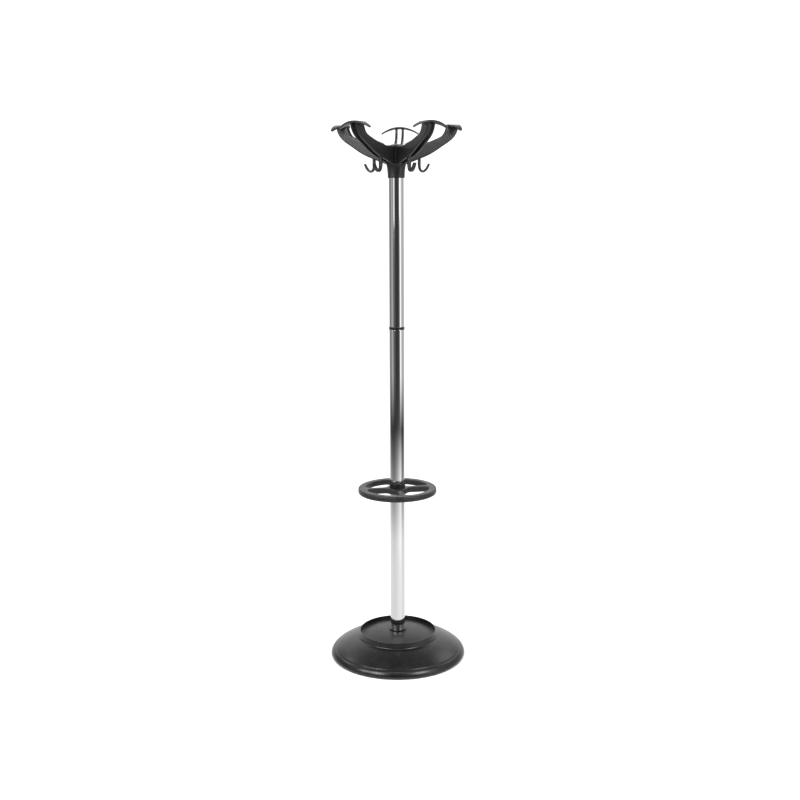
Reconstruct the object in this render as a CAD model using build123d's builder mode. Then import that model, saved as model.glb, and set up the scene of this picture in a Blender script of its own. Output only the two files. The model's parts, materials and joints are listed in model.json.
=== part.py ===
from build123d import *
import math
import os

# Standing coat rack: a weighted round base with a drip tray, a chrome pole of three tubes, an umbrella ring
# and a turning head with five arms. Millimetres. The floor is z = 0 and the pole is on the Z axis.
# The head's arms stand at 90 + 72 k degrees, so the first one points along +Y.

os.makedirs("parts", exist_ok=True)

# ---- driving dimensions ----
TOTAL_H = 1696.0          # floor to the crest of the cross bars
ARMS = 5
FEET = 5

# base
BASE_R = 218.5            # widest point of the skirt
COVER_WALL = 3.0
EDGE_TUCK = 1.0           # how far the skirt draws in below its widest point
COVER_BOTTOM = 1.8        # the skirt hangs this far above the floor
SKIRT_EDGE_Z = 6.5        # height of the widest point
CREASE_R, CREASE_Z = 203.5, 28.5      # lower end of the skirt's slope, above the groove
GROOVE_DROP = 3.2
GROOVE_R = CREASE_R + 1.5
SKIRT_TOP_R, SKIRT_TOP_Z = 133.0, 62.5
SKIRT_SAG = 3.0           # how far the skirt bulges out of its straight line
RIM_OUT_R = 125.5
RIM_IN_R = 120.0
RIM_TOP = 81.5
RIM_ROUND = 1.6
RIM_FOOT_Z = 64.5
RIM_FOOT_ROUND = 5.0      # hollow between the rim and the skirt
LEDGE_IN_R = 104.0
LEDGE_TOP = 68.0
TRAY_R = 119.6
TRAY_WALL = 2.0
TRAY_GUTTER_R = 111.0     # the dome of the tray ends here
TRAY_TOP = 82.0           # flat centre of the tray, under the socket
TRAY_FLAT_R = 28.5
TRAY_SLOPE = -0.04        # slope of the dome where it leaves the flat centre
PLATE_R = 212.5
PLATE_BOTTOM, PLATE_TOP = 3.0, 4.6
FOOT_R, FOOT_PITCH_R = 11.0, 160.0
FOOT_STEM_R = 4.0
STEM_GAP = 0.1
SCREW_PITCH_R = 196.0
SCREW_R, SCREW_HEAD_R, SCREW_HEAD_H = 2.0, 4.0, 1.4
SCREW_TOP = 17.0
BOSS_R = 5.0
PAD_CHAMFER = 0.8
BALLAST_R, BALLAST_EDGE_H = 168.0, 8.0
BALLAST_MID_R, BALLAST_MID_H = 118.0, 32.0
BALLAST_BOSS_R, BALLAST_BOSS_H = 38.5, 38.0
SPANNER_R = 18.0          # opening for the spanner on the base bolt
SPANNER_TOP = 16.0

# pole
TUBE_R = 23.75
TUBE_WALL = 1.2
TUBE_IN_R = TUBE_R - TUBE_WALL
LOWER_BOTTOM, LOWER_TOP = 118.0, 544.0
RING_T = 18.0
RING_COLLAR_T = 15.0
RING_TOP = LOWER_TOP + RING_T
MIDDLE_BOTTOM = RING_TOP + RING_COLLAR_T
MIDDLE_TOP = 1071.0
SPACER_T = 8.0
UPPER_BOTTOM = MIDDLE_TOP + SPACER_T
UPPER_TOP = 1586.0
SPACER_R = 24.4
RING_COLLAR_R = 24.6
SMALL_ROUND = 0.8
PLUG_L = 22.0
STUD_R = 5.0              # M10
STUD_HOLE_R = 5.3
STUD_REACH = 16.0         # length of stud inside each plug
STUD_CHAMFER = 0.8
SOCKET_FLANGE_R, SOCKET_FLANGE_T = 27.3, 3.0
SOCKET_CORE_R = 19.5
LEAD_IN = 1.5             # bevels that guide the socket and the bush into the tube
SLEEVE_IN_R, SLEEVE_R = 19.6, 21.2
SLEEVE_TOP = 103.5
BUSH_R = 23.5
SPIGOT_GAP = 0.15
BUSH_TOP = 138.0
SOCKET_TOP = 146.0
BOLT_HEAD_AF, BOLT_HEAD_H = 17.0, 6.4
WASHER_R, WASHER_T = 15.0, 2.5

# umbrella ring
RING_R = 125.5
RING_HOLE_R = 102.0
RING_HUB_R = 35.0
SPOKE_W = 17.0
SPOKE_ANGLE = 13.8        # one spoke stands this far from the -Y direction
HOLE_CORNER_R = 13.0
RING_ROUND = 5.0
HOLE_ROUND = 3.0

# head
HUB_BOTTOM = 1535.0
HUB_BOTTOM_R = 26.3
HUB_SHOULDER_R = 31.0
HUB_SHOULDER_Z = 1577.0
HUB_LIP = 1.5             # height of the upright lip at the shoulder
HUB_WAIST_RISE, HUB_WAIST_SWELL = 22.0, 0.9       # where the sleeve starts to flare
CORE_R = 25.0
CORE_IN_R = 19.0
CORE_TOP = 1630.0
PIVOT_GAP = 0.08          # running clearance of the sleeve and of the pivot bolt
FACE_GAP = 0.2            # end float of the head
THRUST_T = 1.8
WEB_BOTTOM = UPPER_TOP + THRUST_T + FACE_GAP
WEB_TOP = WEB_BOTTOM + 8.0
PIVOT_R = 4.0             # M8
PIVOT_WASHER_R, PIVOT_WASHER_T = 8.8, 1.6
PIVOT_HEAD_AF, PIVOT_HEAD_H = 13.0, 5.3
CAP_R, CAP_EDGE = 25.6, 1.5
CAP_RISE = 7.0

# arm, with r measured from the axis of the pole
GAP_HALF = 7.2            # half of the gap between the two cheeks
CHEEK_T = 5.6
CHEEK_OUT = GAP_HALF + CHEEK_T
WEB_T = 4.5
ARM_FLAT_R = 38.0         # the top edge is level out to here
ARM_ROOT_BOTTOM = HUB_SHOULDER_Z
BAR_IN_R, BAR_OUT_R = 159.0, 197.0
BAR_TIP_IN_R, BAR_TIP_OUT_R = 180.5, 192.5
BAR_HALF = 59.0           # half of the cross bar's span
BAR_DROP = 18.0           # how far its tips droop
BAR_T = 5.0
BAR_TIP_T = 3.8
BAR_FLARE_R = 168.5       # on the bar's inner edge, where it leaves the cheeks
BAR_FLARE_HALF = 29.4
BAR_ROOT_HALF = CHEEK_OUT + 1.0
CHEEK_HEAD_IN_R, CHEEK_HEAD_OUT_R = 160.5, 193.0  # where the cheeks meet the bar
CHEEK_HEAD_Z = TOTAL_H - 3.5
ARM_SCREW_R, ARM_SCREW_HEAD_R, ARM_SCREW_HEAD_H = 2.0, 3.8, 2.4
ARM_SCREW_Z = (1592.0, 1616.0)
ARM_SCREW_TIP_R = 20.0
ARM_HOLE_IN_R = 18.0      # the screw holes start just inside the core's wall

# lower hook
HOOK_W = 11.0
HOOK_ROOT_IN_R, HOOK_ROOT_OUT_R = 67.0, 79.0
HOOK_ROOT_TOP = 1613.0
HOOK_ROOT_H = 16.0
HOOK_BOTTOM = 1552.0
HOOK_ROUND = 1.9
HOOK_LONG_EDGE = 25.0     # edges longer than this are rounded
HOOK_STEM_IN_R, HOOK_STEM_OUT_R = 69.5, 76.5
HOOK_STEM_TOP = HOOK_ROOT_TOP - 12.0


def save(builder, name):
    """Label a finished piece and write its STEP file."""
    builder.part.label = name
    export_step(builder.part, f"parts/{name}.step")


def arc_radius(half_chord, rise):
    """Radius of an arc from half of its chord and its rise."""
    return (half_chord ** 2 + rise ** 2) / (2 * rise)


def disc(name, radius, bottom, top, hole):
    """A plain round piece with a centre hole."""
    with BuildPart() as piece:
        with BuildSketch(Plane.XY.offset(bottom)):
            Circle(radius)
            Circle(hole, mode=Mode.SUBTRACT)
        extrude(amount=top - bottom)
    save(piece, name)


def side_plane(angle, shift):
    """Upright plane along an arm: x runs outwards, y runs up, moved sideways by shift."""
    a = math.radians(angle)
    along = (math.cos(a), math.sin(a), 0)
    square = (math.sin(a), -math.cos(a), 0)
    return Plane(origin=(0, 0, 0), x_dir=along, z_dir=square).offset(shift)


def radial_plane(angle, reach, height):
    """Plane square to an arm: x runs across the arm, y runs up, at a reach from the pole and a height."""
    a = math.radians(angle)
    centre = (reach * math.cos(a), reach * math.sin(a), height)
    return Plane(origin=centre, x_dir=(-math.sin(a), math.cos(a), 0), z_dir=(math.cos(a), math.sin(a), 0))


arm_angles = [90 + k * 360 / ARMS for k in range(ARMS)]

# ---- base ----

# The cover is revolved from one closed outline. Its outer skin goes from the ledge over the rim, down the
# bulging skirt and round the groove and the bead to the bottom edge. Its inner skin comes back up inside.
with BuildPart() as base_cover:
    with BuildSketch(Plane.XZ):
        with BuildLine():
            Polyline(
                (LEDGE_IN_R, LEDGE_TOP),
                (RIM_IN_R, LEDGE_TOP),
                (RIM_IN_R, RIM_TOP),
                (RIM_OUT_R, RIM_TOP),
                (RIM_OUT_R, RIM_FOOT_Z),
                (SKIRT_TOP_R, SKIRT_TOP_Z),
            )
            SagittaArc((SKIRT_TOP_R, SKIRT_TOP_Z), (CREASE_R, CREASE_Z), SKIRT_SAG)
            Line((CREASE_R, CREASE_Z), (GROOVE_R, CREASE_Z - GROOVE_DROP))
            Spline(
                (GROOVE_R, CREASE_Z - GROOVE_DROP),
                (CREASE_R + 9.0, CREASE_Z - 8.0),
                (BASE_R - 1.0, SKIRT_EDGE_Z + 4.5),
                (BASE_R, SKIRT_EDGE_Z),
                tangents=((1.0, 0.1), (0.0, -1.0)),
            )
            Polyline(
                (BASE_R, SKIRT_EDGE_Z),
                (BASE_R - EDGE_TUCK, COVER_BOTTOM),
                (BASE_R - EDGE_TUCK - COVER_WALL, COVER_BOTTOM),
                (BASE_R - COVER_WALL, SKIRT_EDGE_Z),
                (BASE_R - COVER_WALL - 4.5, CREASE_Z - 15.0),
                (CREASE_R + 1.0, CREASE_Z - 7.0),
                (CREASE_R - 3.0, CREASE_Z - COVER_WALL),
            )
            SagittaArc(
                (CREASE_R - 3.0, CREASE_Z - COVER_WALL),
                (SKIRT_TOP_R - 4.0, SKIRT_TOP_Z - COVER_WALL),
                -SKIRT_SAG,
            )
            Polyline(
                (SKIRT_TOP_R - 4.0, SKIRT_TOP_Z - COVER_WALL),
                (RIM_IN_R + 1.0, LEDGE_TOP - COVER_WALL),
                (LEDGE_IN_R, LEDGE_TOP - COVER_WALL),
                (LEDGE_IN_R, LEDGE_TOP),
            )
        make_face()
    revolve(axis=Axis.Z)
    rim_edges = base_cover.edges().filter_by(GeomType.CIRCLE).group_by(Axis.Z)[-1]
    fillet(rim_edges, radius=RIM_ROUND)
    rings = base_cover.edges().filter_by(GeomType.CIRCLE)
    foot_edge = rings.filter_by_position(Axis.Z, RIM_FOOT_Z - 0.1, RIM_FOOT_Z + 0.1)
    fillet(foot_edge, radius=RIM_FOOT_ROUND)
    with BuildSketch(Plane.XY.offset(PLATE_TOP)):
        with PolarLocations(SCREW_PITCH_R, FEET, start_angle=90 + 180 / FEET):
            Circle(BOSS_R)
            Circle(SCREW_R, mode=Mode.SUBTRACT)
    extrude(until=Until.NEXT)
save(base_cover, "base_cover")

# The tray is a shallow dome with a flat gutter round its edge and a flat seat for the socket.
gutter_top = LEDGE_TOP + TRAY_WALL
with BuildPart() as drip_tray:
    with BuildSketch(Plane.XZ):
        with BuildLine():
            Line((STUD_HOLE_R, TRAY_TOP), (TRAY_FLAT_R, TRAY_TOP))
            TangentArc((TRAY_FLAT_R, TRAY_TOP), (TRAY_GUTTER_R, gutter_top), tangent=(1.0, TRAY_SLOPE))
            Polyline(
                (TRAY_GUTTER_R, gutter_top),
                (TRAY_R, gutter_top),
                (TRAY_R, LEDGE_TOP),
                (TRAY_GUTTER_R - 1.0, LEDGE_TOP),
            )
            TangentArc(
                (TRAY_FLAT_R, TRAY_TOP - TRAY_WALL),
                (TRAY_GUTTER_R - 1.0, LEDGE_TOP),
                tangent=(1.0, TRAY_SLOPE),
            )
            Polyline(
                (TRAY_FLAT_R, TRAY_TOP - TRAY_WALL),
                (STUD_HOLE_R, TRAY_TOP - TRAY_WALL),
                (STUD_HOLE_R, TRAY_TOP),
            )
        make_face()
    revolve(axis=Axis.Z)
save(drip_tray, "drip_tray")

# Cast weight under the tray, with a centre boss that carries the socket and a pocket for the bolt head.
with BuildPart() as ballast:
    with BuildSketch(Plane.XZ):
        with BuildLine():
            Polyline(
                (STUD_HOLE_R, SPANNER_TOP),
                (SPANNER_R, SPANNER_TOP),
                (SPANNER_R, PLATE_TOP),
                (BALLAST_R, PLATE_TOP),
                (BALLAST_R, PLATE_TOP + BALLAST_EDGE_H),
                (BALLAST_MID_R, PLATE_TOP + BALLAST_MID_H),
                (BALLAST_BOSS_R, PLATE_TOP + BALLAST_BOSS_H),
                (TRAY_FLAT_R, TRAY_TOP - TRAY_WALL),
                (STUD_HOLE_R, TRAY_TOP - TRAY_WALL),
                close=True,
            )
        make_face()
    revolve(axis=Axis.Z)
save(ballast, "ballast")

with BuildPart() as base_plate:
    with BuildSketch(Plane.XY.offset(PLATE_BOTTOM)):
        Circle(PLATE_R)
        Circle(SPANNER_R, mode=Mode.SUBTRACT)
        with PolarLocations(FOOT_PITCH_R, FEET, start_angle=90):
            Circle(FOOT_STEM_R + STEM_GAP, mode=Mode.SUBTRACT)
        with PolarLocations(SCREW_PITCH_R, FEET, start_angle=90 + 180 / FEET):
            Circle(SCREW_R + STEM_GAP, mode=Mode.SUBTRACT)
    extrude(amount=PLATE_TOP - PLATE_BOTTOM)
save(base_plate, "base_plate")

# Rubber feet, each a rounded pad with a stem through the plate.
for k in range(FEET):
    angle = math.radians(90 + k * 360 / FEET)
    foot_x = FOOT_PITCH_R * math.cos(angle)
    foot_y = FOOT_PITCH_R * math.sin(angle)
    with BuildPart() as foot:
        with BuildSketch(Plane.XY):
            with Locations((foot_x, foot_y)):
                Circle(FOOT_R)
        extrude(amount=PLATE_BOTTOM)
        chamfer(foot.edges().group_by(Axis.Z)[0], length=PAD_CHAMFER)
        with BuildSketch(Plane.XY.offset(PLATE_BOTTOM)):
            with Locations((foot_x, foot_y)):
                Circle(FOOT_STEM_R)
        extrude(amount=PLATE_TOP - PLATE_BOTTOM - STEM_GAP)
    save(foot, f"foot_{k + 1}")

with BuildPart() as base_screws:
    with BuildSketch(Plane.XY.offset(PLATE_BOTTOM - SCREW_HEAD_H)):
        with PolarLocations(SCREW_PITCH_R, FEET, start_angle=90 + 180 / FEET):
            Circle(SCREW_HEAD_R)
    extrude(amount=SCREW_HEAD_H)
    with BuildSketch(Plane.XY.offset(PLATE_BOTTOM)):
        with PolarLocations(SCREW_PITCH_R, FEET, start_angle=90 + 180 / FEET):
            Circle(SCREW_R)
    extrude(amount=SCREW_TOP - PLATE_BOTTOM)
save(base_screws, "base_screws")

# ---- pole ----

# Foot of the pole: a flanged core, a plated sleeve round it and a bush whose spigot centres the lower tube.
with BuildPart() as pole_socket:
    with BuildSketch(Plane.XZ):
        with BuildLine():
            Polyline(
                (STUD_HOLE_R, TRAY_TOP),
                (SOCKET_FLANGE_R, TRAY_TOP),
                (SOCKET_FLANGE_R, TRAY_TOP + SOCKET_FLANGE_T),
                (SOCKET_CORE_R, TRAY_TOP + SOCKET_FLANGE_T),
                (SOCKET_CORE_R, SOCKET_TOP - LEAD_IN),
                (SOCKET_CORE_R - LEAD_IN, SOCKET_TOP),
                (STUD_HOLE_R, SOCKET_TOP),
                close=True,
            )
        make_face()
    revolve(axis=Axis.Z)
    flange_edges = pole_socket.edges().filter_by(GeomType.CIRCLE).sort_by(SortBy.RADIUS)[-2:]
    fillet(flange_edges.sort_by(Axis.Z)[-1], radius=SMALL_ROUND)
save(pole_socket, "pole_socket")

disc("stub_sleeve", SLEEVE_R, TRAY_TOP + SOCKET_FLANGE_T, SLEEVE_TOP, SLEEVE_IN_R)

with BuildPart() as stub_bush:
    with BuildSketch(Plane.XZ):
        with BuildLine():
            Polyline(
                (SLEEVE_IN_R, SLEEVE_TOP),
                (BUSH_R - LEAD_IN, SLEEVE_TOP),
                (BUSH_R, SLEEVE_TOP + LEAD_IN),
                (BUSH_R, LOWER_BOTTOM),
                (TUBE_IN_R - SPIGOT_GAP, LOWER_BOTTOM),
                (TUBE_IN_R - SPIGOT_GAP, BUSH_TOP - LEAD_IN),
                (TUBE_IN_R - SPIGOT_GAP - LEAD_IN, BUSH_TOP),
                (SLEEVE_IN_R, BUSH_TOP),
                close=True,
            )
        make_face()
    revolve(axis=Axis.Z)
save(stub_bush, "stub_bush")

TUBES = {
    "lower_tube": (LOWER_BOTTOM, LOWER_TOP),
    "middle_tube": (MIDDLE_BOTTOM, MIDDLE_TOP),
    "upper_tube": (UPPER_BOTTOM, UPPER_TOP),
}
for name, (bottom, top) in TUBES.items():
    disc(name, TUBE_R, bottom, top, TUBE_IN_R)

# Threaded plugs pressed into the tube ends. Threads are plain holes at the thread's nominal size.
PLUGS = {
    "lower_tube_bottom_plug": (SOCKET_TOP, STUD_R),
    "lower_tube_top_plug": (LOWER_TOP - PLUG_L, STUD_R),
    "middle_tube_bottom_plug": (MIDDLE_BOTTOM, STUD_R),
    "middle_tube_top_plug": (MIDDLE_TOP - PLUG_L, STUD_R),
    "upper_tube_bottom_plug": (UPPER_BOTTOM, STUD_R),
    "pivot_plug": (UPPER_TOP - PLUG_L, PIVOT_R),
}
for name, (bottom, hole) in PLUGS.items():
    disc(name, TUBE_IN_R, bottom, bottom + PLUG_L, hole)

STUDS = {
    "lower_stud": (LOWER_TOP - STUD_REACH, MIDDLE_BOTTOM + STUD_REACH),
    "upper_stud": (MIDDLE_TOP - STUD_REACH, UPPER_BOTTOM + STUD_REACH),
}
for name, (bottom, top) in STUDS.items():
    with BuildPart() as stud:
        with BuildSketch(Plane.XY.offset(bottom)):
            Circle(STUD_R)
        extrude(amount=top - bottom)
        chamfer(stud.edges(), length=STUD_CHAMFER)
    save(stud, name)

disc("base_washer", WASHER_R, SPANNER_TOP - WASHER_T, SPANNER_TOP, STUD_HOLE_R)

with BuildPart() as base_bolt:
    with BuildSketch(Plane.XY.offset(SPANNER_TOP - WASHER_T - BOLT_HEAD_H)):
        RegularPolygon(BOLT_HEAD_AF / 2, 6, major_radius=False)
    extrude(amount=BOLT_HEAD_H)
    with BuildSketch(Plane.XY.offset(SPANNER_TOP - WASHER_T)):
        Circle(STUD_R)
    extrude(amount=SOCKET_TOP + STUD_REACH - SPANNER_TOP + WASHER_T)
save(base_bolt, "base_bolt")

for name, radius, bottom, top in (
    ("ring_collar", RING_COLLAR_R, RING_TOP, MIDDLE_BOTTOM),
    ("joint_spacer", SPACER_R, MIDDLE_TOP, UPPER_BOTTOM),
):
    with BuildPart() as spacer:
        with BuildSketch(Plane.XY.offset(bottom)):
            Circle(radius)
            Circle(STUD_HOLE_R, mode=Mode.SUBTRACT)
        extrude(amount=top - bottom)
        outer_edges = spacer.edges().filter_by(GeomType.CIRCLE).sort_by(SortBy.RADIUS)[-2:]
        fillet(outer_edges, radius=SMALL_ROUND)
    save(spacer, name)

# ---- umbrella ring ----

# One opening is a quarter of a flat ring with round corners; four of them leave the rim, hub and spokes.
with BuildPart() as umbrella_ring:
    with BuildSketch(Plane.XY.offset(LOWER_TOP)):
        Circle(RING_R)
    extrude(amount=RING_T)
    fillet(umbrella_ring.edges(), radius=RING_ROUND)
    with BuildSketch(Plane.XY.offset(LOWER_TOP).rotated((0, 0, SPOKE_ANGLE))) as openings:
        Circle(RING_HOLE_R)
        Circle(RING_HUB_R, mode=Mode.SUBTRACT)
        Rectangle(2 * RING_R, SPOKE_W, mode=Mode.SUBTRACT)
        Rectangle(SPOKE_W, 2 * RING_R, mode=Mode.SUBTRACT)
        fillet(openings.vertices(), radius=HOLE_CORNER_R)
    extrude(amount=RING_T, mode=Mode.SUBTRACT)
    top_and_bottom = (umbrella_ring.faces().sort_by(Axis.Z)[-1], umbrella_ring.faces().sort_by(Axis.Z)[0])
    opening_edges = [edge for face in top_and_bottom for wire in face.inner_wires() for edge in wire.edges()]
    fillet(opening_edges, radius=HOLE_ROUND)
    with BuildSketch(Plane.XY.offset(LOWER_TOP)):
        Circle(STUD_HOLE_R)
    extrude(amount=RING_T, mode=Mode.SUBTRACT)
save(umbrella_ring, "umbrella_ring")

# ---- head ----

disc("thrust_washer", TUBE_IN_R, UPPER_TOP, UPPER_TOP + THRUST_T, PIVOT_R)
disc("pivot_washer", PIVOT_WASHER_R, WEB_TOP + FACE_GAP, WEB_TOP + FACE_GAP + PIVOT_WASHER_T, PIVOT_R)

pivot_head_bottom = WEB_TOP + FACE_GAP + PIVOT_WASHER_T
with BuildPart() as pivot_bolt:
    with BuildSketch(Plane.XY.offset(UPPER_TOP - STUD_REACH)):
        Circle(PIVOT_R)
    extrude(amount=pivot_head_bottom - UPPER_TOP + STUD_REACH)
    with BuildSketch(Plane.XY.offset(pivot_head_bottom)):
        RegularPolygon(PIVOT_HEAD_AF / 2, 6, major_radius=False)
    extrude(amount=PIVOT_HEAD_H)
save(pivot_bolt, "pivot_bolt")

# The hub is a sleeve round the top of the pole, a web on the thrust washer and a hollow core above it.
web_face = CORE_R + WEB_T
with BuildPart() as head_hub:
    with BuildSketch(Plane.XZ):
        with BuildLine():
            Spline(
                (HUB_BOTTOM_R, HUB_BOTTOM),
                (HUB_BOTTOM_R + HUB_WAIST_SWELL, HUB_BOTTOM + HUB_WAIST_RISE),
                (HUB_SHOULDER_R, HUB_SHOULDER_Z - HUB_LIP),
                tangents=((0.0, 1.0), (0.45, 1.0)),
            )
            Polyline(
                (HUB_SHOULDER_R, HUB_SHOULDER_Z - HUB_LIP),
                (HUB_SHOULDER_R, HUB_SHOULDER_Z),
                (CORE_R, HUB_SHOULDER_Z),
                (CORE_R, CORE_TOP),
                (CORE_IN_R, CORE_TOP),
                (CORE_IN_R, WEB_TOP),
                (PIVOT_R + PIVOT_GAP, WEB_TOP),
                (PIVOT_R + PIVOT_GAP, WEB_BOTTOM),
                (TUBE_R + PIVOT_GAP, WEB_BOTTOM),
                (TUBE_R + PIVOT_GAP, HUB_BOTTOM),
                (HUB_BOTTOM_R, HUB_BOTTOM),
            )
        make_face()
    revolve(axis=Axis.Z)
    for angle in arm_angles:
        for height in ARM_SCREW_Z:
            with BuildSketch(radial_plane(angle, ARM_HOLE_IN_R, height)):
                Circle(ARM_SCREW_R)
            extrude(amount=web_face - ARM_HOLE_IN_R, mode=Mode.SUBTRACT)
save(head_hub, "head_hub")

with BuildPart() as head_cap:
    with BuildSketch(Plane.XZ):
        with BuildLine():
            Line((0, CORE_TOP), (CAP_R, CORE_TOP))
            Line((CAP_R, CORE_TOP), (CAP_R, CORE_TOP + CAP_EDGE))
            TangentArc((0, CORE_TOP + CAP_RISE), (CAP_R, CORE_TOP + CAP_EDGE), tangent=(1.0, 0.0))
            Line((0, CORE_TOP + CAP_RISE), (0, CORE_TOP))
        make_face()
    revolve(axis=Axis.Z)
save(head_cap, "head_cap")

# Screws through the web of each arm into the core, two to an arm, with their heads between the cheeks.
with BuildPart() as arm_screws:
    for angle in arm_angles:
        for height in ARM_SCREW_Z:
            with BuildSketch(radial_plane(angle, ARM_SCREW_TIP_R, height)):
                Circle(ARM_SCREW_R)
            extrude(amount=web_face - ARM_SCREW_TIP_R)
            with BuildSketch(radial_plane(angle, web_face, height)):
                Circle(ARM_SCREW_HEAD_R)
            extrude(amount=ARM_SCREW_HEAD_H)
save(arm_screws, "arm_screws")

# An arm is one moulding: an arched cross bar, two cheeks that carry it and a web on the core of the hub.
bar_top_r = arc_radius(BAR_HALF, BAR_DROP)
bar_under_r = arc_radius(BAR_HALF, BAR_DROP - BAR_T + BAR_TIP_T)
bar_tip_mid_r = (BAR_TIP_IN_R + BAR_TIP_OUT_R) / 2
bar_tip_y = BAR_HALF - (BAR_TIP_OUT_R - BAR_TIP_IN_R) / 2
for k, angle in enumerate(arm_angles):
    with BuildPart() as arm:
        # the plan of the bar, tall enough to hold the whole arch
        with BuildSketch(Plane.XY.offset(TOTAL_H - 2 * BAR_DROP).rotated((0, 0, angle))):
            with BuildLine():
                ThreePointArc((BAR_TIP_OUT_R, -bar_tip_y), (BAR_OUT_R, 0), (BAR_TIP_OUT_R, bar_tip_y))
                for side in (1, -1):
                    ThreePointArc(
                        (BAR_TIP_OUT_R, side * bar_tip_y),
                        (bar_tip_mid_r, side * BAR_HALF),
                        (BAR_TIP_IN_R, side * bar_tip_y),
                    )
                    Spline(
                        (BAR_TIP_IN_R, side * bar_tip_y),
                        (BAR_FLARE_R, side * BAR_FLARE_HALF),
                        (BAR_IN_R, side * BAR_ROOT_HALF),
                        tangents=((-0.25, -side), (-0.25, -side)),
                    )
                Line((BAR_IN_R, BAR_ROOT_HALF), (BAR_IN_R, -BAR_ROOT_HALF))
            make_face()
        extrude(amount=2 * BAR_DROP)
        # the arch, seen along the arm: a crescent band between two arcs
        with BuildSketch(radial_plane(angle, CORE_R, TOTAL_H)):
            with Locations((0, -bar_top_r)):
                Circle(bar_top_r)
            with Locations((0, -BAR_T - bar_under_r)):
                Circle(bar_under_r, mode=Mode.SUBTRACT)
        extrude(amount=BAR_OUT_R, mode=Mode.INTERSECT)
        # the cheeks
        for inner_face, thickness in ((-GAP_HALF, -CHEEK_T), (GAP_HALF, CHEEK_T)):
            with BuildSketch(side_plane(angle, inner_face)):
                with BuildLine():
                    Spline(
                        (HUB_SHOULDER_R, ARM_ROOT_BOTTOM),
                        (75.0, TOTAL_H - 102.0),
                        (107.0, TOTAL_H - 88.0),
                        (146.5, TOTAL_H - 63.0),
                        (178.0, TOTAL_H - 39.5),
                        (191.5, TOTAL_H - 16.0),
                        (CHEEK_HEAD_OUT_R, CHEEK_HEAD_Z),
                    )
                    Spline(
                        (CHEEK_HEAD_IN_R, CHEEK_HEAD_Z),
                        (157.5, TOTAL_H - 18.0),
                        (148.0, TOTAL_H - 33.0),
                        (130.5, TOTAL_H - 42.5),
                        (97.0, TOTAL_H - 55.0),
                        (70.0, TOTAL_H - 62.0),
                        (ARM_FLAT_R, CORE_TOP),
                        tangents=((0.0, -1.0), (-1.0, 0.0)),
                    )
                    Line((CHEEK_HEAD_IN_R, CHEEK_HEAD_Z), (CHEEK_HEAD_OUT_R, CHEEK_HEAD_Z))
                    Polyline(
                        (ARM_FLAT_R, CORE_TOP),
                        (CORE_IN_R, CORE_TOP),
                        (CORE_IN_R, ARM_ROOT_BOTTOM),
                        (HUB_SHOULDER_R, ARM_ROOT_BOTTOM),
                    )
                make_face()
            extrude(amount=thickness)
        # the web, and the round seat on the core
        with BuildSketch(side_plane(angle, 0)):
            with Locations(((CORE_IN_R + web_face) / 2, (ARM_ROOT_BOTTOM + CORE_TOP) / 2)):
                Rectangle(web_face - CORE_IN_R, CORE_TOP - ARM_ROOT_BOTTOM)
        extrude(amount=GAP_HALF, both=True)
        with BuildSketch(Plane.XY.offset(ARM_ROOT_BOTTOM)):
            Circle(CORE_R)
        extrude(amount=CORE_TOP - ARM_ROOT_BOTTOM, mode=Mode.SUBTRACT)
        for height in ARM_SCREW_Z:
            with BuildSketch(radial_plane(angle, CORE_IN_R, height)):
                Circle(ARM_SCREW_R + STEM_GAP)
            extrude(amount=web_face, mode=Mode.SUBTRACT)
    save(arm, f"arm_{k + 1}")

# Small J hooks: a root block wedged between the cheeks, a stem and an upturned tip.
for k, angle in enumerate(arm_angles):
    with BuildPart() as lower_hook:
        with BuildSketch(side_plane(angle, 0)):
            with BuildLine():
                Spline(
                    (HOOK_STEM_IN_R, HOOK_STEM_TOP),
                    (70.0, HOOK_BOTTOM + 16.0),
                    (74.6, HOOK_BOTTOM + 4.6),
                    (84.0, HOOK_BOTTOM),
                    (95.0, HOOK_BOTTOM + 6.0),
                    (105.0, HOOK_BOTTOM + 23.0),
                    tangents=((0.0, -1.0), (0.45, 1.0)),
                )
                ThreePointArc(
                    (105.0, HOOK_BOTTOM + 23.0), (103.7, HOOK_BOTTOM + 26.2), (100.6, HOOK_BOTTOM + 25.4)
                )
                Spline(
                    (100.6, HOOK_BOTTOM + 25.4),
                    (91.8, HOOK_BOTTOM + 11.0),
                    (84.0, HOOK_BOTTOM + 6.0),
                    (78.6, HOOK_BOTTOM + 9.4),
                    (76.4, HOOK_BOTTOM + 18.0),
                    (HOOK_STEM_OUT_R, HOOK_STEM_TOP),
                    tangents=((-0.45, -1.0), (0.0, 1.0)),
                )
                Line((HOOK_STEM_OUT_R, HOOK_STEM_TOP), (HOOK_STEM_IN_R, HOOK_STEM_TOP))
            make_face()
        extrude(amount=HOOK_W / 2, both=True)
        rounded = [edge for edge in lower_hook.edges() if edge.length > HOOK_LONG_EDGE]
        fillet(rounded, radius=HOOK_ROUND)
        with BuildSketch(side_plane(angle, 0)):
            with Locations(((HOOK_ROOT_IN_R + HOOK_ROOT_OUT_R) / 2, HOOK_ROOT_TOP - HOOK_ROOT_H / 2)):
                Rectangle(HOOK_ROOT_OUT_R - HOOK_ROOT_IN_R, HOOK_ROOT_H)
        extrude(amount=GAP_HALF, both=True)
    save(lower_hook, f"lower_hook_{k + 1}")
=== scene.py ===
import json
import math

import bmesh
import bpy
from mathutils import Matrix, Vector
from mathutils.geometry import interpolate_bezier


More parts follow.
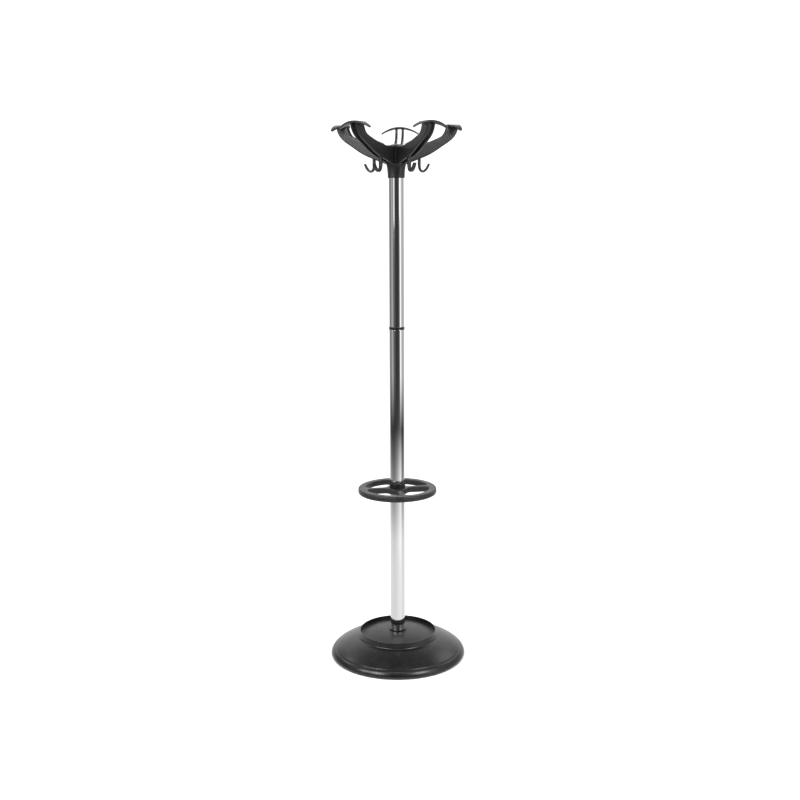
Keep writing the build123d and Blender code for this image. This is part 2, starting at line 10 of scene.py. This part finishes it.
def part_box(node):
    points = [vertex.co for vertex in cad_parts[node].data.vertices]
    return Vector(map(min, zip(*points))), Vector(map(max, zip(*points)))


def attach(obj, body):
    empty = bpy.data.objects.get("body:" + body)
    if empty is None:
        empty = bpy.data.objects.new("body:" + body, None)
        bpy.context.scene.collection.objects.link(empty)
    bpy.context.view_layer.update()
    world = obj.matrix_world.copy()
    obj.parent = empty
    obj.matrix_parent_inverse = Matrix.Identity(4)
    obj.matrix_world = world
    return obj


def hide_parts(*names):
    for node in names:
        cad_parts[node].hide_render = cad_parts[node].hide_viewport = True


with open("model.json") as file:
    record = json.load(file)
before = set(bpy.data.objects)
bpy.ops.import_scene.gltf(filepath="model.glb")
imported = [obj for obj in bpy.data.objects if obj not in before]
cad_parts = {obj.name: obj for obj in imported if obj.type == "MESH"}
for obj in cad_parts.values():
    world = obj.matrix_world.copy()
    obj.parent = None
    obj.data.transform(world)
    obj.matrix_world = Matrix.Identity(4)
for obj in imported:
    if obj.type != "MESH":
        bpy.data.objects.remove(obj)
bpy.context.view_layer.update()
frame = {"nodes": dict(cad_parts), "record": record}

# Blender's unit is the metre. The floor is z = 0, the pole is the Z axis and one arm points along +Y.
# The outlines of turned pieces and the sizes of grain and edges are in millimetres.
MM = 0.001
ARMS = 5
nodes = frame["nodes"]
record = frame["record"]


# ---- geometry helpers ----

ROUNDING_SHARE = 0.48     # a rounded corner takes at most this share of each side
LONG_RUN, HOLD = 9.0, 0.5     # a run longer than this, in mm, is held flat this far from its ends
LATHE_CREASE, MOULDING_CREASE = 40, 50     # edges sharper than this, in degrees, stay crisp


def link(name, data):
    """A new object in the scene from a mesh, a camera or a light."""
    piece = bpy.data.objects.new(name, data)
    bpy.context.scene.collection.objects.link(piece)
    return piece


def smooth(piece, crease):
    """Smooth shading, with edges sharper than crease kept crisp."""
    piece.data.polygons.foreach_set("use_smooth", [True] * len(piece.data.polygons))
    piece.data.set_sharp_from_angle(angle=math.radians(crease))
    return piece


def rounded(corners, steps=5):
    """Points of a closed outline from corners (r, z, corner radius)."""
    points = []
    count = len(corners)
    for i, (r, z, radius) in enumerate(corners):
        here = Vector((r, z))
        before = Vector(corners[i - 1][:2]) - here
        after = Vector(corners[(i + 1) % count][:2]) - here
        if radius <= 0:
            points.append(here)
            continue
        half = before.angle(after) / 2
        reach = min(radius / math.tan(half), ROUNDING_SHARE * before.length, ROUNDING_SHARE * after.length)
        radius = reach * math.tan(half)
        bisector = (before.normalized() + after.normalized()).normalized()
        centre = here + bisector * (radius / math.sin(half))
        start = here + before.normalized() * reach - centre
        end = here + after.normalized() * reach - centre
        sweep_angle = start.angle_signed(end)
        for k in range(steps + 1):
            turned = start.copy()
            turned.rotate(Matrix.Rotation(-sweep_angle * k / steps, 2))
            points.append(centre + turned)
    return points


def bowed(start, end, rise, steps=12):
    """Corners along a shallow arc, without its ends. A positive rise bows to the left of its direction."""
    a, b = Vector(start), Vector(end)
    across = Vector((-(b - a).y, (b - a).x)).normalized()
    corners = []
    for k in range(1, steps):
        point = a.lerp(b, k / steps) + across * rise * (1 - (2 * k / steps - 1) ** 2)
        corners.append((point.x, point.y, 0))
    return corners


def curved(start, pull_start, pull_end, end, steps=10):
    """Corners along a smooth curve, without its ends, steered by two pull points."""
    handles = [Vector((*point, 0)) for point in (start, pull_start, pull_end, end)]
    return [(p.x, p.y, 0) for p in interpolate_bezier(*handles, steps + 1)[1:-1]]


def held(outline):
    """The outline with a point added near each end of every long straight run, so that it shades flat."""
    points = []
    for i, start in enumerate(outline):
        end = outline[(i + 1) % len(outline)]
        points.append(start)
        run = (end - start).length
        if run > LONG_RUN:
            points += [start.lerp(end, HOLD / run), end.lerp(start, HOLD / run)]
    return points


def lathe(name, outline, segments=192):
    """A closed outline of (r, z) points, revolved about the pole. A point on the axis is a ring of one."""
    mesh = bpy.data.meshes.new(name)
    bm = bmesh.new()
    rings = []
    for r, z in held(outline):
        if r < 1e-6:
            rings.append([bm.verts.new((0, 0, z * MM))])
            continue
        ring = []
        for k in range(segments):
            a = 2 * math.pi * k / segments
            ring.append(bm.verts.new((r * MM * math.cos(a), r * MM * math.sin(a), z * MM)))
        rings.append(ring)
    for i, ring in enumerate(rings):
        other = rings[(i + 1) % len(rings)]
        if len(ring) == 1 and len(other) == 1:
            continue
        for k in range(segments):
            n = (k + 1) % segments
            corners = (ring[k % len(ring)], ring[n % len(ring)],
                       other[n % len(other)], other[k % len(other)])
            bm.faces.new(tuple(dict.fromkeys(corners)))     # each point once
    bmesh.ops.recalc_face_normals(bm, faces=bm.faces)
    bm.to_mesh(mesh)
    bm.free()
    return smooth(link(name, mesh), LATHE_CREASE)


def refined(name, node, voxel, keep, swell):
    """A copy of a CAD node with softened edges: remeshed in voxels, relaxed, swollen and thinned out."""
    mesh = nodes[node].data.copy()
    mesh.name = name
    mesh.materials.clear()
    piece = link(name, mesh)
    weld = piece.modifiers.new("weld", "WELD")
    weld.merge_threshold = 1e-6
    remesh = piece.modifiers.new("remesh", "REMESH")
    remesh.mode = "VOXEL"
    remesh.voxel_size = voxel * MM
    relax = piece.modifiers.new("relax", "CORRECTIVE_SMOOTH")
    relax.factor = 0.5
    relax.iterations = 5
    relax.smooth_type = "LENGTH_WEIGHTED"
    relax.use_only_smooth = True
    fuller = piece.modifiers.new("fuller", "DISPLACE")
    fuller.strength = swell * MM
    fuller.mid_level = 0
    thin = piece.modifiers.new("thin", "DECIMATE")
    thin.ratio = keep
    depsgraph = bpy.context.evaluated_depsgraph_get()
    final = bpy.data.meshes.new_from_object(piece.evaluated_get(depsgraph))
    piece.modifiers.clear()
    piece.data = final
    final.name = name
    return smooth(piece, MOULDING_CREASE)


def turned_copy(piece, name, angle):
    """The same mesh turned about the pole by an angle in degrees."""
    mesh = piece.data.copy()
    mesh.name = name
    mesh.transform(Matrix.Rotation(math.radians(angle), 4, "Z"))
    return link(name, mesh)


# ---- node helpers ----

def grey(value):
    return (value, value, value)


def node_tree(name):
    """A new node material, its tree and its Principled shader."""
    material = bpy.data.materials.new(name)
    material.use_nodes = True
    tree = material.node_tree
    return material, tree, tree.nodes["Principled BSDF"]


def noise(tree, scale, detail=3.0, rough=0.5, stretch=(1, 1, 1)):
    """Noise in the object's own metres."""
    coords = tree.nodes.new("ShaderNodeTexCoord")
    mapping = tree.nodes.new("ShaderNodeMapping")
    mapping.inputs["Scale"].default_value = stretch
    tree.links.new(coords.outputs["Object"], mapping.inputs["Vector"])
    texture = tree.nodes.new("ShaderNodeTexNoise")
    texture.inputs["Scale"].default_value = scale
    texture.inputs["Detail"].default_value = detail
    texture.inputs["Roughness"].default_value = rough
    tree.links.new(mapping.outputs["Vector"], texture.inputs["Vector"])
    return texture.outputs["Fac"]


def ranged(tree, value, low, high, start=0.3, stop=0.7):
    """A value socket spread over low to high as it goes from start to stop."""
    spread = tree.nodes.new("ShaderNodeMapRange")
    spread.inputs["From Min"].default_value = start
    spread.inputs["From Max"].default_value = stop
    spread.inputs["To Min"].default_value = low
    spread.inputs["To Max"].default_value = high
    tree.links.new(value, spread.inputs["Value"])
    return spread.outputs["Result"]


def blended(tree, value, first, second):
    """A colour that goes from first to second with a noise value."""
    mix = tree.nodes.new("ShaderNodeMix")
    mix.data_type = "RGBA"
    mix.inputs["A"].default_value = (*first, 1)
    mix.inputs["B"].default_value = (*second, 1)
    tree.links.new(ranged(tree, value, 0, 1), mix.inputs["Factor"])
    return mix.outputs["Result"]


def bumped(tree, shader, layers):
    """Bump layers of (height socket, distance in mm, strength), one on top of the other."""
    normal = None
    for height, distance, strength in layers:
        bump = tree.nodes.new("ShaderNodeBump")
        bump.inputs["Distance"].default_value = distance * MM
        bump.inputs["Strength"].default_value = strength
        tree.links.new(height, bump.inputs["Height"])
        if normal is not None:
            tree.links.new(normal, bump.inputs["Normal"])
        normal = bump.outputs["Normal"]
    tree.links.new(normal, shader.inputs["Normal"])


# ---- materials: a roughness is a pair, from low to high ----

PLASTIC_IOR = 1.49


def moulded_black(name, dark, light, roughness, grain, depth):
    """Black moulded plastic: mottle, uneven gloss, slight waves, and grain of a size and depth in mm."""
    material, tree, shader = node_tree(name)
    mottle = noise(tree, scale=45, detail=4)
    tree.links.new(blended(tree, mottle, grey(dark), grey(light)), shader.inputs["Base Color"])
    gloss = noise(tree, scale=28, detail=5, rough=0.6)
    tree.links.new(ranged(tree, gloss, *roughness), shader.inputs["Roughness"])
    shader.inputs["IOR"].default_value = PLASTIC_IOR
    fine = noise(tree, scale=1 / (grain * MM), detail=2, rough=0.6)
    waves = noise(tree, scale=18, detail=2)
    bumped(tree, shader, [(waves, 0.25, 0.25), (fine, depth, 0.6)])
    return material


def chrome():
    """Bright plated tube with a faint drawn texture and slightly uneven polish."""
    material, tree, shader = node_tree("chrome_plate")
    shader.inputs["Metallic"].default_value = 1.0
    streaks = noise(tree, scale=60, detail=4, rough=0.6, stretch=(1, 1, 0.04))
    tint = blended(tree, streaks, (0.74, 0.74, 0.75), (0.80, 0.80, 0.81))
    tree.links.new(tint, shader.inputs["Base Color"])
    smears = noise(tree, scale=22, detail=5, rough=0.65, stretch=(1, 1, 0.35))
    tree.links.new(ranged(tree, smears, 0.035, 0.09), shader.inputs["Roughness"])
    waves = noise(tree, scale=9, detail=1, stretch=(1, 1, 0.3))
    bumped(tree, shader, [(waves, 0.05, 0.12)])
    return material


def zinc():
    """Zinc plated fasteners."""
    material, tree, shader = node_tree("zinc_plate")
    shader.inputs["Metallic"].default_value = 1.0
    tint = blended(tree, noise(tree, scale=160), (0.42, 0.43, 0.45), (0.62, 0.62, 0.60))
    tree.links.new(tint, shader.inputs["Base Color"])
    tree.links.new(ranged(tree, noise(tree, scale=400), 0.25, 0.45), shader.inputs["Roughness"])
    bumped(tree, shader, [(noise(tree, scale=900, detail=2), 0.02, 0.5)])
    return material


def plain_matter(name, dark, light, scale, roughness, depth):
    """Rubber, concrete and other dull stuff: mottled colour and a rough skin of a depth in mm."""
    material, tree, shader = node_tree(name)
    patches = noise(tree, scale, detail=5, rough=0.65)
    tree.links.new(blended(tree, patches, dark, light), shader.inputs["Base Color"])
    tree.links.new(ranged(tree, noise(tree, scale * 3), *roughness), shader.inputs["Roughness"])
    bumped(tree, shader, [(noise(tree, scale * 6, detail=4), depth, 0.7)])
    return material


FINISH = {
    "head_black": moulded_black("head_moulding", 0.006, 0.010, (0.28, 0.34), grain=0.9, depth=0.002),
    "base_black": moulded_black("base_moulding", 0.004, 0.008, (0.22, 0.30), grain=0.9, depth=0.015),
    "ring_black": moulded_black("ring_moulding", 0.005, 0.014, (0.36, 0.46), grain=1.4, depth=0.1),
    "fitting_black": moulded_black("fitting_moulding", 0.002, 0.004, (0.3, 0.42), grain=0.8, depth=0.01),
    "tray_black": moulded_black("tray_gloss", 0.004, 0.008, (0.38, 0.45), grain=1.2, depth=0.01),
    "plate_black": plain_matter(
        "plate_paint", grey(0.02), grey(0.03), scale=120, roughness=(0.4, 0.55), depth=0.03),
    "pole_chrome": chrome(),
    "zinc_steel": zinc(),
    "concrete": plain_matter(
        "cast_concrete", (0.33, 0.32, 0.30), (0.48, 0.47, 0.44),
        scale=60, roughness=(0.8, 0.95), depth=0.4),
    "foot_rubber": plain_matter(
        "foot_rubber", grey(0.015), grey(0.03), scale=150, roughness=(0.75, 0.9), depth=0.05),
    "plug_plastic": plain_matter(
        "plug_plastic", grey(0.05), grey(0.07), scale=100, roughness=(0.45, 0.6), depth=0.03),
    "slide_white": plain_matter(
        "slide_plastic", grey(0.7), grey(0.8), scale=80, roughness=(0.4, 0.5), depth=0.02),
}
SLOT_OF = {row["node"]: row["material_slot"] for row in record["subparts"]}
BODY_OF = {node: body for body, members in record["behaviour"]["bodies"].items() for node in members}


def paint(piece, node):
    """The piece gets the finish of a CAD node."""
    piece.data.materials.clear()
    piece.data.materials.append(FINISH[SLOT_OF[node]])


def stands_for(piece, node):
    """The piece is shown in place of a CAD node and takes its body, slot and finish."""
    paint(piece, node)
    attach(piece, BODY_OF[node])
    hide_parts(node)


for node in SLOT_OF:
    paint(nodes[node], node)


# ---- turned pieces: their heights and main radii come from the frame, in millimetres ----
# Corners are (r, z, corner radius). The rim's taper, the tray's edge, the top of the slope and the flange's
# thickness follow the photograph more closely than the CAD does.

def heights(node):
    """The lowest and the highest z of a CAD node."""
    low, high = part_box(node)
    return low.z / MM, high.z / MM


def radius_of(node):
    """The outside radius of a round CAD node."""
    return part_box(node)[1].x / MM


TUBE_OUTER = radius_of("lower_tube")
TUBE_INNER = TUBE_OUTER - 1.2
STUD_BORE = 5.3           # radius of the hole for an M10 bolt or stud
CORE_R = 19.5             # the socket's core, on which the neck and the bush sit
CORE_BORE = CORE_R + 0.1
FLANGE_HEIGHT = 4.3


def cover_outline():
    """The skirt of the base: ledge and rim, bulging slope, groove, bead and the inner skin."""
    foot_z, rim_z = heights("base_cover")
    ledge_z = heights("drip_tray")[0]
    ledge_r, rim_inner, rim_outer, rim_foot = 104, 121.6, 123.8, (127.6, 62.3)
    slope_top, wall, sag = (136.5, 60.6), 3.0, 3.0
    crease, groove = (203.5, 28.5), (205.0, 25.3)
    bead_r, bead_z = radius_of("base_cover"), 6.5
    under_top, under_foot = (129.0, slope_top[1] - wall), (crease[0] - wall, crease[1] - wall)
    rim = [(ledge_r, ledge_z, 0.5), (rim_inner, ledge_z, 0.5), (rim_inner, rim_z, 0.4),
           (rim_outer, rim_z, 1.5), (*rim_foot, 7.0)]
    slope = [(*slope_top, 4.0), *bowed(slope_top, crease, sag), (*crease, 3.0), (*groove, 1.0)]
    bead = curved(groove, (209.5, 25.6), (bead_r, 14.0), (bead_r, bead_z))
    edge = [(bead_r, bead_z, 0), (bead_r - 1, foot_z, 0.8), (bead_r - 4, foot_z, 0.5),
            (bead_r - wall, bead_z, 1.0), (211, 13.5, 2.0), (204.5, 21.5, 2.0)]
    under = [(*under_foot, 1.0), *bowed(under_foot, under_top, -sag), (*under_top, 1.0),
             (121, ledge_z - wall, 1.0), (ledge_r, ledge_z - wall, 0.5)]
    return rounded(rim + slope + bead + edge + under)


def tray_outline():
    """A shallow dome with a gutter round its edge and a flat seat for the socket."""
    low, high = heights("drip_tray")
    seat_r, gutter_r, edge_r, sheet, sag = 28.5, 111.0, 121.3, 2.0, 2.2
    seat, gutter = (seat_r, high), (gutter_r, low + sheet)
    under_seat, under_gutter = (seat_r, high - sheet), (gutter_r - 1, low)
    return rounded([
        (STUD_BORE, high, 0), (*seat, 0), *bowed(seat, gutter, sag), (*gutter, 1.5),
        (edge_r, low + sheet, 0.5), (edge_r, low, 0.4),
        (*under_gutter, 1.0), *bowed(under_gutter, under_seat, -sag), (*under_seat, 0),
        (STUD_BORE, high - sheet, 0),
    ])


def hub_outline():
    """The flared sleeve on the top of the pole, its web and its hollow core."""
    low, high = heights("head_hub")
    bore, bolt_bore = TUBE_OUTER + 0.08, 4.08
    foot, shoulder = (26.3, low), (radius_of("head_hub"), low + 40.5)
    core_inner, core_outer, core_foot = 19, 25, low + 42
    web_low, web_high = low + 53, low + 61
    return rounded([
        (bore, low, 0.3), (*foot, 0.6),
        *curved(foot, (foot[0], low + 13), (27.4, low + 32.5), shoulder),
        (*shoulder, 1.0), (shoulder[0], core_foot, 0.4), (core_outer, core_foot, 0.5),
        (core_outer, high, 0.3), (core_inner, high, 0.3), (core_inner, web_high, 0.5),
        (bolt_bore, web_high, 0.2), (bolt_bore, web_low, 0.2), (bore, web_low, 0.5),
    ])


def cap_outline(steps=14):
    """A thin dome that closes the core of the hub."""
    low, crown = heights("head_cap")
    radius, edge = radius_of("head_cap"), low + 1.5
    rise = crown - edge
    sphere = (radius ** 2 + rise ** 2) / (2 * rise)
    dome = []
    for k in range(steps):
        r = radius * k / steps
        dome.append((r, crown - sphere + math.sqrt(sphere ** 2 - r ** 2), 0))
    return rounded(dome + [(radius, edge, 0.6), (radius, low, 0.3), (0, low, 0)])


def sleeve_outline(inner, outer, bottom, top, edge):
    """A plain ring or tube with its outer edges rounded."""
    return rounded([(inner, bottom, 0.2), (outer, bottom, edge), (outer, top, edge), (inner, top, 0.2)])


def tube_outline(node):
    return sleeve_outline(TUBE_INNER, TUBE_OUTER, *heights(node), edge=0.4)


def collar_outline(node):
    return sleeve_outline(STUD_BORE, radius_of(node), *heights(node), edge=0.8)


def neck_outline():
    """The plated neck between the socket's flange and the bush."""
    low = heights("pole_socket")[0] + FLANGE_HEIGHT
    high = heights("stub_sleeve")[1]
    return sleeve_outline(CORE_BORE, radius_of("stub_sleeve"), low, high, edge=0.3)


def bush_outline():
    """The bush that carries the lower tube: a collar below it and a spigot inside it."""
    low, high = heights("stub_bush")
    seat = heights("lower_tube")[0]
    collar, spigot, bevel = radius_of("stub_bush"), TUBE_INNER - 0.15, 1.5
    return rounded([
        (CORE_BORE, low, 0.2), (collar - bevel, low, 0.5), (collar, low + bevel, 0.6), (collar, seat, 0.4),
        (spigot, seat, 0.1), (spigot, high - bevel, 0.3), (spigot - bevel, high, 0.3),
        (CORE_BORE, high, 0.2),
    ])


def socket_outline():
    """The flange on the tray and the core that stands on it."""
    low, high = heights("pole_socket")
    flange_r, flange_top, bevel = radius_of("pole_socket"), low + FLANGE_HEIGHT, 1.5
    return rounded([
        (STUD_BORE, low, 0.2), (flange_r, low, 0.3), (flange_r, flange_top, 1.2), (CORE_R, flange_top, 0.2),
        (CORE_R, high - bevel, 0.3), (CORE_R - bevel, high, 0.3), (STUD_BORE, high, 0.2),
    ])


TURNED = {
    "base_cover": cover_outline(),
    "drip_tray": tray_outline(),
    "pole_socket": socket_outline(),
    "stub_sleeve": neck_outline(),
    "stub_bush": bush_outline(),
    "lower_tube": tube_outline("lower_tube"),
    "middle_tube": tube_outline("middle_tube"),
    "upper_tube": tube_outline("upper_tube"),
    "ring_collar": collar_outline("ring_collar"),
    "joint_spacer": collar_outline("joint_spacer"),
    "head_hub": hub_outline(),
    "head_cap": cap_outline(),
}
for node, outline in TURNED.items():
    stands_for(lathe(f"{node}_turned", outline), node)


# ---- moulded pieces with softened edges: voxel and swell are in millimetres ----

def moulded_family(family, node, voxel, keep, swell):
    """The softened copy of a piece that repeats round the head, once for each arm."""
    first = refined(f"{family}_1", f"{node}_1", voxel, keep, swell)
    stands_for(first, f"{node}_1")
    for k in range(1, ARMS):
        stands_for(turned_copy(first, f"{family}_{k + 1}", 360 / ARMS * k), f"{node}_{k + 1}")


ring = refined("umbrella_ring_moulding", "umbrella_ring", voxel=0.9, keep=0.3, swell=0.1)
stands_for(ring, "umbrella_ring")
moulded_family("arm_moulding", "arm", voxel=1.0, keep=0.4, swell=0.7)
moulded_family("hook_moulding", "lower_hook", voxel=0.5, keep=0.4, swell=0.5)


# ---- camera: angles in degrees, lengths in metres, lens and sensor in millimetres ----

CAMERA_AZIMUTH = 3.8      # of the camera's side of the stand, from -Y towards +X
CAMERA_DISTANCE = 3.458
CAMERA_HEIGHT = 1.475
CAMERA_PITCH = 10.31
CAMERA_TURN = 0.155       # how far it looks to the right of the pole
CAMERA_ROLL = -0.18
LENS, SENSOR = 49.97, 36.0


def around(azimuth, distance, height):
    """The place at an azimuth from the camera's side, a distance from the pole and a height."""
    a = math.radians(CAMERA_AZIMUTH + azimuth)
    return (distance * math.sin(a), -distance * math.cos(a), height)


def place_camera():
    """The camera at the photograph's viewing angle."""
    data = bpy.data.cameras.new("camera")
    data.lens = LENS
    data.sensor_width = SENSOR
    camera = link("camera", data)
    camera.location = around(0, CAMERA_DISTANCE, CAMERA_HEIGHT)
    aim = Matrix.Rotation(math.radians(CAMERA_AZIMUTH - CAMERA_TURN), 3, "Z")
    tilt = Matrix.Rotation(math.radians(90 - CAMERA_PITCH), 3, "X")
    roll = Matrix.Rotation(math.radians(CAMERA_ROLL), 3, "Z")
    camera.rotation_euler = (aim @ tilt @ roll).to_euler()
    bpy.context.scene.camera = camera


# ---- studio: azimuths in degrees from the camera's side, lengths in metres ----

FLOOR_HALF = 30.0
ROOM_R = 3.6              # the walls of the surroundings stand this far from the pole
# Brightness of the walls: (azimuth, level).
WALLS = ((-180, 1.3), (-150, 1.0), (-128, 0.35), (-101, 0.18), (-80, 0.45), (-61, 0.48), (-48, 0.18),
         (-14, 0.05), (16, 0.04), (31, 0.08), (47, 0.2), (50, 1.3), (65, 1.3), (74, 0.7), (106, 0.45),
         (137, 0.7), (160, 1.1), (180, 1.3))
# How the light on the floor varies: (azimuth, factor).
FLOOR_TURN = ((-180, 1.0), (-100, 0.8), (-65, 0.4), (-43, 0.5), (-10, 0.8), (2, 1.0), (25, 1.6), (51, 2.6),
              (70, 1.3), (88, 0.4), (110, 0.8), (180, 1.0))
# Brightness of the floor: (distance from the pole, level, how far it follows the azimuth).
FLOOR_GLOW = ((0.225, 0.93, 0.08), (0.9, 0.95, 0.15), (1.25, 0.95, 0.25), (1.75, 0.66, 0.5),
              (2.4, 0.46, 0.9), (2.8, 0.3, 1.0), (ROOM_R, 0.05, 1.0))
# Lit panels on the walls: (azimuth from, azimuth to, lower edge, level).
PANELS = ((-46, -28, 1.30, 1.2), (40, 50, 1.34, 1.4))
PANEL_BLUR = 0.02         # height over which a panel's lower edge fades in
WALL_FOOT = 0.35          # the walls reach their full brightness at this height
WALL_MIDDLE = 1.0         # where a wall without a panel has the points that a panel's edge would need
WALL_TOP, BACK_TOP = 3.6, 1.9     # height of the walls, and of the white backdrop behind the stand
BACKDROP_FROM, BACKDROP_BLEND = 115, 30     # the backdrop fades in over these azimuths, on both sides
BOWL_LIFT = 0.004         # height of the surroundings' floor over the real one
BOWL_COLUMNS = 180        # columns of points round the pole
WHITE = 1.35              # strength of the world for the camera and for matt surfaces
SKY_LOW, SKY_HIGH = 1.3, 0.28     # strength of the world for glossy surfaces, low down and high up


def studio_floor():
    """A wide pale floor."""
    mesh = bpy.data.meshes.new("floor")
    h = FLOOR_HALF
    mesh.from_pydata([(-h, -h, 0), (h, -h, 0), (h, h, 0), (-h, h, 0)], [], [(0, 1, 2, 3)])
    floor = link("floor", mesh)
    material, tree, shader = node_tree("pale_floor")
    pale = blended(tree, noise(tree, scale=0.6, detail=2), grey(0.86), grey(0.88))
    tree.links.new(pale, shader.inputs["Base Color"])
    shader.inputs["Roughness"].default_value = 0.9
    shader.inputs["Specular IOR Level"].default_value = 0.1
    mesh.materials.append(material)


def between(stops, value):
    """Straight-line reading of a list of (place, level) stops."""
    for (x0, y0), (x1, y1) in zip(stops, stops[1:]):
        if x0 <= value <= x1:
            return y0 + (y1 - y0) * (value - x0) / (x1 - x0)
    return stops[-1][1]


def bowl_column(azimuth):
    """Points (distance, height, brightness) of the surroundings, out over the floor and up the wall."""
    behind = min(1, max(0, (abs(azimuth) - BACKDROP_FROM) / BACKDROP_BLEND))
    column = []
    for distance, level, share in FLOOR_GLOW:
        level *= between(FLOOR_TURN, azimuth) ** share
        column.append((distance, BOWL_LIFT, level + (1 - level) * behind))
    wall = between(WALLS, azimuth)
    edge, lit = WALL_MIDDLE, wall
    for start, end, panel_edge, panel_level in PANELS:
        if start < azimuth < end:
            edge, lit = panel_edge, panel_level
    top = WALL_TOP + (BACK_TOP - WALL_TOP) * behind
    for height, level in ((WALL_FOOT, wall), (edge, wall), (edge + PANEL_BLUR, lit), (top, lit)):
        column.append((ROOM_R, height, level))
    return column


def glow_material():
    """A light as strong as the mesh's own glow values."""
    material = bpy.data.materials.new("surroundings")
    material.use_nodes = True
    tree = material.node_tree
    tree.nodes.clear()
    reading = tree.nodes.new("ShaderNodeAttribute")
    reading.attribute_name = "glow"
    emission = tree.nodes.new("ShaderNodeEmission")
    tree.links.new(reading.outputs["Fac"], emission.inputs["Strength"])
    output = tree.nodes.new("ShaderNodeOutputMaterial")
    tree.links.new(emission.outputs["Emission"], output.inputs["Surface"])
    return material


def surroundings():
    """A bowl that only glossy surfaces see: a floor that darkens outwards and unevenly lit walls."""
    verts, glow, faces = [], [], []
    for k in range(BOWL_COLUMNS):
        azimuth = -180 + 360 * k / BOWL_COLUMNS
        for distance, height, level in bowl_column(azimuth):
            verts.append(around(azimuth, distance, height))
            glow.append(level)
    rows = len(verts) // BOWL_COLUMNS
    for k in range(BOWL_COLUMNS):
        here, there = k * rows, (k + 1) % BOWL_COLUMNS * rows
        faces += [(here + i, there + i, there + i + 1, here + i + 1) for i in range(rows - 1)]
    mesh = bpy.data.meshes.new("surroundings")
    mesh.from_pydata(verts, [], faces)
    mesh.attributes.new("glow", "FLOAT", "POINT").data.foreach_set("value", glow)
    mesh.materials.append(glow_material())
    bowl = link("surroundings", mesh)
    bowl.visible_camera = False
    bowl.visible_diffuse = False
    bowl.visible_shadow = False
    bowl.visible_transmission = False
    bowl.visible_volume_scatter = False


def white_world():
    """White all round for the camera and for matt surfaces, and a sky that dims upwards for glossy ones."""
    world = bpy.data.worlds.new("studio")
    bpy.context.scene.world = world
    world.use_nodes = True
    tree = world.node_tree
    background = tree.nodes["Background"]
    background.inputs["Color"].default_value = (1, 1, 1, 1)
    coords = tree.nodes.new("ShaderNodeTexCoord")
    split = tree.nodes.new("ShaderNodeSeparateXYZ")
    tree.links.new(coords.outputs["Generated"], split.inputs["Vector"])
    sky = ranged(tree, split.outputs["Z"], SKY_LOW, SKY_HIGH, start=0.5, stop=0.88)
    paths = tree.nodes.new("ShaderNodeLightPath")
    level = tree.nodes.new("ShaderNodeMix")
    level.inputs["A"].default_value = WHITE
    tree.links.new(sky, level.inputs["B"])
    tree.links.new(paths.outputs["Is Glossy Ray"], level.inputs["Factor"])
    tree.links.new(level.outputs["Result"], background.inputs["Strength"])


def softbox(name, azimuth, distance, height, width, tall, radiance, aim=1.0):
    """An area light that points at the pole at the height aim."""
    light = bpy.data.lights.new(name, "AREA")
    light.shape = "RECTANGLE"
    light.size = width
    light.size_y = tall
    light.energy = radiance * math.pi * width * tall
    lamp = link(name, light)
    lamp.location = around(azimuth, distance, height)
    towards = Vector((0, 0, aim)) - lamp.location
    lamp.rotation_euler = towards.to_track_quat("-Z", "Y").to_euler()
    lamp.visible_camera = False


place_camera()
studio_floor()
surroundings()
white_world()
softbox("left_box", azimuth=-39, distance=3.3, height=2.72, width=1.2, tall=1.3, radiance=12.0)
softbox("right_box", azimuth=42, distance=3.3, height=2.7, width=1.4, tall=1.3, radiance=11.0)
softbox("left_strip", azimuth=-62, distance=3.3, height=2.27, width=0.8, tall=0.9, radiance=12.0, aim=1.5)
softbox("left_rear_box", azimuth=-113, distance=3.2, height=2.5, width=1.4, tall=1.0, radiance=2.5)
softbox("right_rear_box", azimuth=122, distance=3.2, height=2.8, width=1.8, tall=1.6, radiance=1.2)
softbox("front_box", azimuth=0, distance=1.7, height=3.4, width=1.6, tall=0.7, radiance=2.0)
bpy.context.scene.view_settings.view_transform = "Standard"
